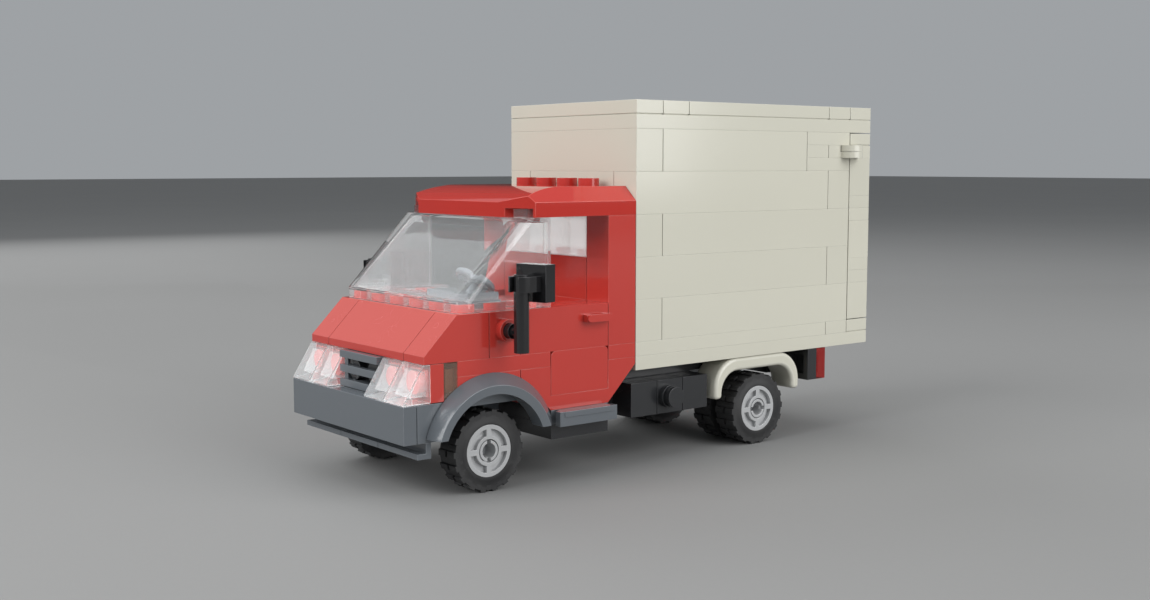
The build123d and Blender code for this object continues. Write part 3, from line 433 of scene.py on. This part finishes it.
def tread_tree():
    """Geometry tree that sets the piece's own mesh, one tread block, round the tyre in two patterns."""
    tree = bpy.data.node_groups.new("tread_blocks", "GeometryNodeTree")
    socket = tree.interface.new_socket
    socket("Block", in_out="INPUT", socket_type="NodeSocketGeometry")
    socket("Blocks Round", in_out="INPUT", socket_type="NodeSocketInt")
    for label in ("Radius", "Width", "Slot", "Bar Drop", "Block Length", "Block Height"):
        socket(label, in_out="INPUT", socket_type="NodeSocketFloat")
    socket("Rubber", in_out="INPUT", socket_type="NodeSocketMaterial")
    socket("Tread", in_out="OUTPUT", socket_type="NodeSocketGeometry")
    add, link = tree.nodes.new, tree.links.new
    start, end = add("NodeGroupInput"), add("NodeGroupOutput")
    value = start.outputs

    def ring_of(across, wide, turn_share, radius):
        """Blocks at one place across the tread, turned by a share of the pitch."""
        ring = add("GeometryNodeMeshCircle")
        link(value["Blocks Round"], ring.inputs["Vertices"])
        index = add("GeometryNodeInputIndex").outputs[0]
        pitch = math_node(tree, "DIVIDE", 2 * math.pi, value["Blocks Round"])
        angle = math_node(tree, "MULTIPLY", math_node(tree, "ADD", index, turn_share), pitch)
        place = add("ShaderNodeCombineXYZ")
        link(across, place.inputs["X"])
        link(math_node(tree, "MULTIPLY", math_node(tree, "COSINE", angle), radius), place.inputs["Y"])
        link(math_node(tree, "MULTIPLY", math_node(tree, "SINE", angle), radius), place.inputs["Z"])
        put = add("GeometryNodeSetPosition")
        link(ring.outputs[0], put.inputs["Geometry"])
        link(place.outputs[0], put.inputs["Position"])
        turn = add("ShaderNodeCombineXYZ")
        link(angle, turn.inputs["X"])
        size = add("ShaderNodeCombineXYZ")
        link(wide, size.inputs["X"])
        link(value["Block Height"], size.inputs["Y"])
        link(value["Block Length"], size.inputs["Z"])
        set_blocks = add("GeometryNodeInstanceOnPoints")
        link(put.outputs[0], set_blocks.inputs["Points"])
        link(value["Block"], set_blocks.inputs["Instance"])
        link(turn.outputs[0], set_blocks.inputs["Rotation"])
        link(size.outputs[0], set_blocks.inputs["Scale"])
        return set_blocks.outputs[0]

    half = math_node(tree, "DIVIDE", math_node(tree, "SUBTRACT", value["Width"], value["Slot"]), 2.0)
    side = math_node(tree, "DIVIDE", math_node(tree, "ADD", half, value["Slot"]), 2.0)
    other = math_node(tree, "MULTIPLY", side, -1.0)
    middle = math_node(tree, "MULTIPLY", side, 0.0)
    low = math_node(tree, "SUBTRACT", value["Radius"], value["Bar Drop"])
    joined = add("GeometryNodeJoinGeometry")
    for blocks in (ring_of(side, half, 0.0, value["Radius"]), ring_of(other, half, 0.0, value["Radius"]),
                   ring_of(middle, value["Width"], 0.5, low)):
        link(blocks, joined.inputs[0])
    solid = add("GeometryNodeRealizeInstances")
    link(joined.outputs[0], solid.inputs[0])
    finish = add("GeometryNodeSetMaterial")
    link(solid.outputs[0], finish.inputs["Geometry"])
    link(value["Rubber"], finish.inputs["Material"])
    link(finish.outputs[0], end.inputs[0])
    return tree


def with_tree(piece, tree, values):
    """The plain mesh that a geometry tree makes of a piece, with its inputs set by name."""
    modifier = piece.modifiers.new(tree.name, "NODES")
    modifier.node_group = tree
    for item in tree.interface.items_tree:
        if item.in_out == "INPUT" and item.name in values:
            modifier[item.identifier] = values[item.name]
    bpy.context.view_layer.update()
    made = bpy.data.meshes.new_from_object(piece.evaluated_get(bpy.context.evaluated_depsgraph_get()))
    piece.modifiers.remove(modifier)
    bpy.data.objects.remove(piece)
    return made


tyre_low, tyre_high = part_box("front_tyre_left")
tyre_radius = (tyre_high.z - tyre_low.z) / 2
tyre_width = tyre_high.x - tyre_low.x
rim_low, rim_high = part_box("front_rim_left")
flange_radius = (rim_high.z - rim_low.z) / 2
tyre_rubber = rubber()

half_wide = tyre_width / 2
bead = flange_radius + BEAD_PLAY
crown = tyre_radius - SIDE_DROP
groove = tyre_radius - GROOVE_DROP
seat = flange_radius - SEAT_DEPTH
lip = half_wide - LIP_INSET
band_top = bead + BEAD_BAND
side_profile = [(lip, seat), (lip, bead), (half_wide - SIDE_ROUND, bead), (half_wide, bead + BEAD_ROUND),
                (half_wide, band_top), (half_wide - SIDE_DISH, band_top + BEAD_STEP),
                (half_wide - SIDE_DISH, crown - CROWN_ROUND), (half_wide - SIDE_ROUND, crown),
                (half_wide - SIDE_THICK, crown), (half_wide - SIDE_THICK, groove)]
carcass = turned(side_profile + [(-x, r) for x, r in reversed(side_profile)], CARCASS_STEPS)

block = bmesh.new()
bmesh.ops.create_cube(block, size=1.0)
for vertex in block.verts:
    if vertex.co.y > 0:
        vertex.co.z *= BLOCK_TAPER_ROUND
        vertex.co.x *= BLOCK_TAPER_ACROSS
top_edges = [e for e in block.edges if max(v.co.y for v in e.verts) > 0]
bmesh.ops.bevel(block, geom=top_edges, offset=BLOCK_ROUNDING, segments=2, profile=0.5, affect="EDGES")
block_mesh = bpy.data.meshes.new("tread_block")
block.to_mesh(block_mesh)
block_piece = bpy.data.objects.new("tread_block", block_mesh)
bpy.context.scene.collection.objects.link(block_piece)
half_pitch = math.pi * tyre_radius / BLOCKS_ROUND
tread_mesh = with_tree(block_piece, tread_tree(), {
    "Blocks Round": BLOCKS_ROUND, "Radius": tyre_radius - BLOCK_HEIGHT / 2, "Width": tyre_width - TREAD_INSET,
    "Slot": SLOT_WIDE, "Bar Drop": BAR_DROP, "Block Length": half_pitch * BLOCK_LONG,
    "Block Height": BLOCK_HEIGHT, "Rubber": tyre_rubber})
carcass.from_mesh(tread_mesh)
for place_name in PLACES:
    for side in SIDES:
        node = f"{place_name}_tyre_{side}"
        low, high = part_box(node)
        mesh = bpy.data.meshes.new(node + "_finished")
        carcass.to_mesh(mesh)
        mesh.transform(Matrix.Translation((low + high) / 2))
        mesh.shade_smooth()
        mesh.set_sharp_from_angle(angle=RUBBER_SHADING_TURN)
        mesh.materials.clear()
        mesh.materials.append(tyre_rubber)
        tyre = bpy.data.objects.new(node + "_finished", mesh)
        bpy.context.scene.collection.objects.link(tyre)
        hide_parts(node)
        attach(tyre, f"{place_name}_wheel_{side}")

# ------------------------------------------------------------------ cab body
# Bright red bricks: the sunk floor pan, floor plates, doors, pillars and the wall behind the seats.
# All of it is glossy plastic; the sloping faces have the fine grain that slopes are moulded with, and a paler
# painted sheen.
# The roof is smoother than the rest, and a darker copy of the red: painted shade.
red = plastic("bright_red_plastic", (0.49, 0.042, 0.032), (0.58, 0.15, 0.13), gloss=0.10)
for node in ("cab_floor_plates", "lower_door_panels", "door_bricks", "door_pillars", "dashboard_brick",
             "cab_back_bricks", "nose_plates"):
    moulded(node, red)
# The roof's darker red is painted shade.
shaded_roof_red = plastic("roof_red_plastic", (0.48, 0.036, 0.027), (0.60, 0.11, 0.09), gloss=0.03)
moulded("cab_roof", shaded_roof_red)
for node in ("cab_floor_pan", "hood_slopes"):
    moulded(node, red, grain_and_sheen=True)

# ------------------------------------------------------------------ bumper, fenders and steps
# Dark grey bricks round the foot of the cab, from the bumper tile to the steps behind the front wheels.
# The bumper and its bracket are plates turned on their side; each fender is one flared moulding.
# The steering stand and its wheel, inside the cab, are of the same grey.
dark_grey = plastic("dark_grey_plastic", (0.115, 0.128, 0.142), (0.21, 0.23, 0.25))
for node in ("nose_bracket", "front_spacer_plate", "bumper_plates", "bumper_tile", "splitter_strips",
             "front_fenders", "side_steps", "steering_stand", "steering_wheel"):
    moulded(node, dark_grey)

# ------------------------------------------------------------------ grille
# A dark grey grille tile with three bars, open to the black plate behind it.
# The two gaps run right across its face, so the bars stand free at both ends.
moulded("grille", dark_grey, width=0.08 * MM)
moulded("grille_plate", black)


# ------------------------------------------------------------------ clear parts
# Windscreen, cab back window and headlight lenses in water-clear plastic; signals and tail lamps are tinted.
# Polished inside and out; the studs of the pieces below show through them.
# The bend is far below real plastic's, so that the stacked walls and studs stay clear to look through.
CLEAR_BEND = 1.09
CLEAR_RELIEF = 0.01 * MM


def clear_plastic(name, colour, density_colour, clarity=0.94, edge_glow=0.6, gloss=0.01, painted_glow=0.0):
    """Clear moulded plastic; its rounded edges turn partly translucent, and the whole part can glow faintly
    in its own colour, as painted light.
    """
    material = bpy.data.materials.new(name)
    material.use_nodes = True
    tree = material.node_tree
    shader = tree.nodes["Principled BSDF"]
    place = tree.nodes.new("ShaderNodeTexCoord").outputs["Object"]
    scuff = tree.nodes.new("ShaderNodeGroup")
    scuff.node_tree = scuffs
    haze = math_node(tree, "MULTIPLY", noise(tree, place, 320.0, 3.0), 0.015)
    rough = math_node(tree, "ADD", math_node(tree, "ADD", haze, gloss),
                      math_node(tree, "MULTIPLY", scuff.outputs[0], 0.15))
    tree.links.new(rough, shader.inputs["Roughness"])
    depth = mix_colour(tree, noise(tree, place, 40.0, 2.0), (*colour, 1), (*density_colour, 1))
    tree.links.new(depth, shader.inputs["Base Color"])
    relief = tree.nodes.new("ShaderNodeBump")
    relief.inputs["Strength"].default_value = 0.05
    relief.inputs["Distance"].default_value = CLEAR_RELIEF
    tree.links.new(noise(tree, place, 300.0, 1.0), relief.inputs["Height"])
    tree.links.new(relief.outputs["Normal"], shader.inputs["Normal"])
    shader.inputs["Transmission Weight"].default_value = clarity
    shader.inputs["IOR"].default_value = CLEAR_BEND
    # A faint glow of the part's own colour over its whole face: painted light.
    shader.inputs["Emission Color"].default_value = (*colour, 1)
    shader.inputs["Emission Strength"].default_value = painted_glow
    shader.inputs["Coat Weight"].default_value = 0.8
    shader.inputs["Coat Roughness"].default_value = 0.02
    rim = tree.nodes.new("ShaderNodeBsdfTranslucent")
    rim.inputs["Color"].default_value = (*colour, 1)
    edged = tree.nodes.new("ShaderNodeMixShader")
    tree.links.new(math_node(tree, "MULTIPLY", attribute(tree, "edge_round"), edge_glow), edged.inputs[0])
    tree.links.new(shader.outputs[0], edged.inputs[1])
    tree.links.new(rim.outputs[0], edged.inputs[2])
    light = tree.nodes.new("ShaderNodeLightPath")
    through = tree.nodes.new("ShaderNodeBsdfTransparent")
    through.inputs["Color"].default_value = (*colour, 1)
    either = tree.nodes.new("ShaderNodeMixShader")
    tree.links.new(light.outputs["Is Shadow Ray"], either.inputs[0])
    tree.links.new(edged.outputs[0], either.inputs[1])
    tree.links.new(through.outputs[0], either.inputs[2])
    tree.links.new(either.outputs[0], tree.nodes["Material Output"].inputs["Surface"])
    material.diffuse_color = (*colour, 0.3)
    return material


water_clear = clear_plastic("water_clear_plastic", (0.97, 0.985, 0.985), (0.95, 0.97, 0.975))
moulded("windscreen", water_clear, width=0.1 * MM)
# The headlight lenses and back windows glow faintly: painted light.
lens_clear = clear_plastic("lens_clear_plastic", (0.97, 0.98, 0.98), (0.94, 0.96, 0.965),
                           clarity=0.82, edge_glow=0.9, painted_glow=0.03)
moulded("headlights", lens_clear, width=0.16 * MM)
pane_clear = clear_plastic("pane_clear_plastic", (0.97, 0.975, 0.975), (0.94, 0.96, 0.96),
                           clarity=0.7, edge_glow=0.6, painted_glow=0.11)
moulded("rear_windows", pane_clear, width=0.12 * MM)
signal_orange = clear_plastic("signal_orange_plastic", (0.72, 0.50, 0.38), (0.66, 0.44, 0.33),
                              clarity=0.85)
moulded("turn_signals", signal_orange)
lamp_red = clear_plastic("lamp_red_plastic", (0.75, 0.04, 0.03), (0.68, 0.03, 0.025))
moulded("tail_lenses", lamp_red)

# ------------------------------------------------------------------ mirrors, side boxes and lamp brackets
# Black bricks hung on the outside: mirror bars with clipped-on square heads, boxes along the chassis.
# The tail lamps' brackets are of the same plastic; the mirrors are of a darker copy of it, painted shade.
for node in ("side_boxes", "tail_brackets"):
    moulded(node, black)
# The mirrors' darker black is painted shade.
shaded_black = plastic("deep_black_plastic", (0.012, 0.012, 0.013), (0.05, 0.05, 0.055), gloss=0.12)
for side in SIDES:
    moulded(f"mirror_arm_{side}", shaded_black)
    moulded(f"mirror_head_{side}", shaded_black)

# ------------------------------------------------------------------ cargo box
# Off-white bricks in bond, under one roof plate and five smooth tiles, with mudguards in the same colour.
# The doors are stacks of narrow bricks on swivel hinges.
white = plastic("off_white_plastic", (0.60, 0.585, 0.495), (0.66, 0.65, 0.57), tone_spread=0.05)
for node in ("cargo_floor_plates", "rear_sill_tile", "left_wall_bricks", "right_wall_bricks",
             "front_wall_bricks", "cargo_roof_plate", "cargo_roof_tiles", "door_hinge_bases",
             "rear_door_left", "rear_door_right", "rear_door_hinge_left", "rear_door_hinge_right"):
    moulded(node, white, width=0.08 * MM)
moulded("rear_mudguards", white, width=0.9 * MM, steps=4)


# ------------------------------------------------------------------ table and lights
# A plain pale table top under four soft lights and an even sky.
# A dark card out of shot deepens what the roof mirrors.
def table_top():
    """Matt pale grey table with the faintest cloudiness."""
    material = bpy.data.materials.new("pale_table")
    material.use_nodes = True
    tree = material.node_tree
    shader = tree.nodes["Principled BSDF"]
    place = tree.nodes.new("ShaderNodeTexCoord").outputs["Object"]
    cloud = noise(tree, place, 6.0, 3.0)
    cloudy = mix_colour(tree, cloud, (0.245, 0.245, 0.242, 1), (0.262, 0.262, 0.259, 1))
    tree.links.new(cloudy, shader.inputs["Base Color"])
    rough = math_node(tree, "ADD", 0.72, math_node(tree, "MULTIPLY", noise(tree, place, 900.0, 2.0), 0.1))
    tree.links.new(rough, shader.inputs["Roughness"])
    shader.inputs["Specular IOR Level"].default_value = 0.2
    return material


TABLE_HALF = 6.0
table_mesh = bpy.data.meshes.new("table")
table_mesh.from_pydata([(-TABLE_HALF, -TABLE_HALF, 0), (TABLE_HALF, -TABLE_HALF, 0),
                        (TABLE_HALF, TABLE_HALF, 0), (-TABLE_HALF, TABLE_HALF, 0)], [], [(0, 1, 2, 3)])
table_mesh.materials.append(table_top())
table = bpy.data.objects.new("table", table_mesh)
bpy.context.scene.collection.objects.link(table)


def soft_light(name, turn, tilt, distance, size, power, mirrored=True):
    """Square soft box that faces the truck from a turn round it and a tilt above it, both in degrees."""
    lamp = bpy.data.lights.new(name, "AREA")
    lamp.shape = "SQUARE"
    lamp.size = size
    lamp.energy = power
    box = bpy.data.objects.new(name, lamp)
    turn, tilt = math.radians(turn), math.radians(tilt)
    away = Vector((math.sin(turn) * math.cos(tilt), -math.cos(turn) * math.cos(tilt), math.sin(tilt)))
    box.location = Vector((0, 0, cad_high.z / 2)) + away * distance
    box.rotation_euler = away.to_track_quat("Z", "Y").to_euler()
    box.visible_camera = False
    box.visible_glossy = mirrored
    bpy.context.scene.collection.objects.link(box)


soft_light("key_light", turn=-5, tilt=32, distance=0.75, size=0.55, power=4.3)
soft_light("fill_light", turn=110, tilt=24, distance=0.9, size=0.8, power=6.8)
soft_light("far_side_light", turn=268, tilt=30, distance=0.9, size=0.8, power=3.4, mirrored=False)
soft_light("ceiling_light", turn=0, tilt=89, distance=0.9, size=1.1, power=2.6)


OPPOSITE_VIEW = 231.7
CARD_LIFT = 2 * MM


def dark_flag(turn, distance, wide, high):
    """Upright dark card out of shot, which only reflections see; it keeps the roof's grazing one deep."""
    material = bpy.data.materials.new("flag_cloth")
    material.use_nodes = True
    tree = material.node_tree
    place = tree.nodes.new("ShaderNodeTexCoord").outputs["Object"]
    weave = noise(tree, place, 40.0, 2.0)
    tree.links.new(mix_colour(tree, weave, (0.010, 0.010, 0.010, 1), (0.016, 0.016, 0.016, 1)),
                   tree.nodes["Principled BSDF"].inputs["Base Color"])
    mesh = bpy.data.meshes.new("flag")
    turn = math.radians(turn)
    away = Vector((math.sin(turn), -math.cos(turn), 0)) * distance
    across = Vector((math.cos(turn), math.sin(turn), 0)) * wide / 2
    top = Vector((0, 0, high))
    foot = Vector((0, 0, CARD_LIFT))
    mesh.from_pydata([away - across + foot, away + across + foot, away + across + top, away - across + top],
                     [], [(0, 1, 2, 3)])
    mesh.materials.append(material)
    card = bpy.data.objects.new("flag", mesh)
    bpy.context.scene.collection.objects.link(card)
    card.visible_camera = False
    card.visible_diffuse = False
    card.visible_shadow = False


dark_flag(turn=OPPOSITE_VIEW, distance=0.45, wide=0.7, high=0.30)
sky = bpy.data.worlds.new("even_sky")
sky.use_nodes = True
sky.node_tree.nodes["Background"].inputs["Color"].default_value = (0.86, 0.90, 0.94, 1)
sky.node_tree.nodes["Background"].inputs["Strength"].default_value = 0.40
bpy.context.scene.world = sky
bpy.context.scene.view_settings.view_transform = "Standard"
